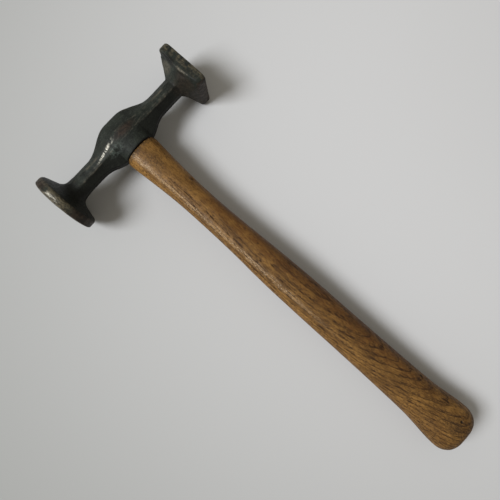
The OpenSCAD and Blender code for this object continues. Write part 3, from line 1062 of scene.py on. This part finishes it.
def make_handle(material):
    step = HANDLE_STEP
    wide, thick = HANDLE_BOX
    low = (-wide, SHOULDER_Y - HANDLE_L - MARGIN, -thick)
    high = (wide, TENON_TOP + MARGIN, thick)
    p, quads = skin(handle_field, low, high, step)
    normal = unit(gradient(handle_field, p))
    out = smooth((SHOULDER_Y - WOOD_EVEN_TO - p[:, 1]) / 3)
    height = uneven(p, WOOD_UNEVEN, ((1, 0.25, 1), (1, 0.3, 1)), (11, 12), WOOD_SUNK)
    p = p + normal * (height * out)[:, None]
    across, up = fibre_shift(SHOULDER_Y - p[:, 1])
    grain = np.stack([p[:, 0] - across, p[:, 1], p[:, 2] - up], 1)
    piece("hammer_handle", p, quads, material, "handle_wood", "handle", grain=grain, **handle_masks(p))


def make_wedges(wood, steel):
    step = WEDGE_STEP
    wide, thick = WEDGE_BOX
    low = (-wide, TENON_TOP - WOOD_WEDGE_D - MARGIN, -thick)
    high = (wide, TENON_TOP + MARGIN, thick)

    def wooden(p):
        solid = round_max(wood_slab(p), eye(p) + FIT_GAP, WOOD_WEDGE_WORN)
        solid = round_max(solid, p[:, 1] - TENON_TOP, WOOD_WEDGE_TOP_WORN)
        return np.maximum(solid, -np.minimum(steel_slab(p, -1), steel_slab(p, 1)))

    p, quads = skin(wooden, low, high, step)
    piece("wooden_wedge", p, quads, wood, "wedge_wood", "wood_wedge")
    for name, side in (("round", -1), ("square", 1)):

        def driven(p):
            at_top = smooth((p[:, 1] - TENON_TOP + STEEL_WEDGE_SPREAD_L) / STEEL_WEDGE_SPREAD_L)
            top = p[:, 1] - TENON_TOP - STEEL_WEDGE_PROUD
            return round_max(steel_slab(p, side) - STEEL_WEDGE_SPREAD * at_top, top, STEEL_WEDGE_WORN)

        p, quads = skin(driven, low, high, step)
        piece("steel_wedge_on_" + name, p, quads, steel, "wedge_steel", "steel_wedge_" + name)


# Studio


def toward_light():
    """Direction from the hammer to the window, of length 1."""
    rise = math.radians(WINDOW_RISE)
    turn = math.radians(WINDOW_TURN)
    return Vector((math.cos(rise) * math.cos(turn), math.cos(rise) * math.sin(turn), math.sin(rise)))


def floor_paper():
    """Pale paper with a painted pool of light: brightest at one place and darker away from it."""
    s = Shader("floor_paper")
    away = s.vector("SUBTRACT", s.add("TexCoord").outputs["Object"], BRIGHTEST)
    far = s.vector("LENGTH", away)
    colour = s.colour(s.span(far, BRIGHT_REACH, DARK_REACH), PAPER_IN_PAINTED_LIGHT, PAPER_OUT_OF_PAINTED_LIGHT)
    return s.finish(colour, 0.8)


def studio():
    """The floor, the room's even light and the window."""
    bpy.ops.mesh.primitive_plane_add(size=FLOOR_SIZE)
    floor = bpy.context.object
    floor.name = "floor"
    floor.data.materials.append(floor_paper())
    world = bpy.data.worlds.new("studio")
    bpy.context.scene.world = world
    world.use_nodes = True
    room = world.node_tree.nodes["Background"]
    room.inputs["Color"].default_value = ROOM_COLOUR
    room.inputs["Strength"].default_value = ROOM_LIGHT
    lamp = bpy.data.lights.new("window", "AREA")
    lamp.shape = "RECTANGLE"
    lamp.size = 2 * WINDOW_AWAY * math.tan(math.radians(WINDOW_HALF_WIDTH))
    lamp.size_y = 2 * WINDOW_AWAY * math.tan(math.radians(WINDOW_HALF_HEIGHT))
    lamp.energy = WINDOW_LIGHT * (math.pi * WINDOW_AWAY) ** 2 / math.sin(math.radians(WINDOW_RISE))
    lamp.color = WINDOW_COLOUR
    window = bpy.data.objects.new("window", lamp)
    bpy.context.scene.collection.objects.link(window)
    window.location = toward_light() * WINDOW_AWAY
    window.rotation_euler = toward_light().to_track_quat("Z", "Y").to_euler()


def camera():
    lens = bpy.data.cameras.new("camera")
    lens.sensor_width = SENSOR
    lens.lens = SENSOR * FOCAL_PX / PICTURE_PX
    lens.clip_start = NEAREST
    lens.clip_end = FURTHEST
    cam = bpy.data.objects.new("camera", lens)
    bpy.context.scene.collection.objects.link(cam)
    turn = Matrix.Identity(4)
    for angle, axis in zip(CAMERA_TURN, "ZXY"):
        turn = turn @ Matrix.Rotation(math.radians(angle), 4, axis)
    cam.matrix_world = Matrix.Translation(Vector(CAMERA_PLACE) * MM) @ turn
    bpy.context.scene.camera = cam
    bpy.context.scene.view_settings.view_transform = "Standard"


make_head(forged_steel())
make_handle(handle_wood())
make_wedges(wedge_wood(), wedge_steel())
studio()
camera()
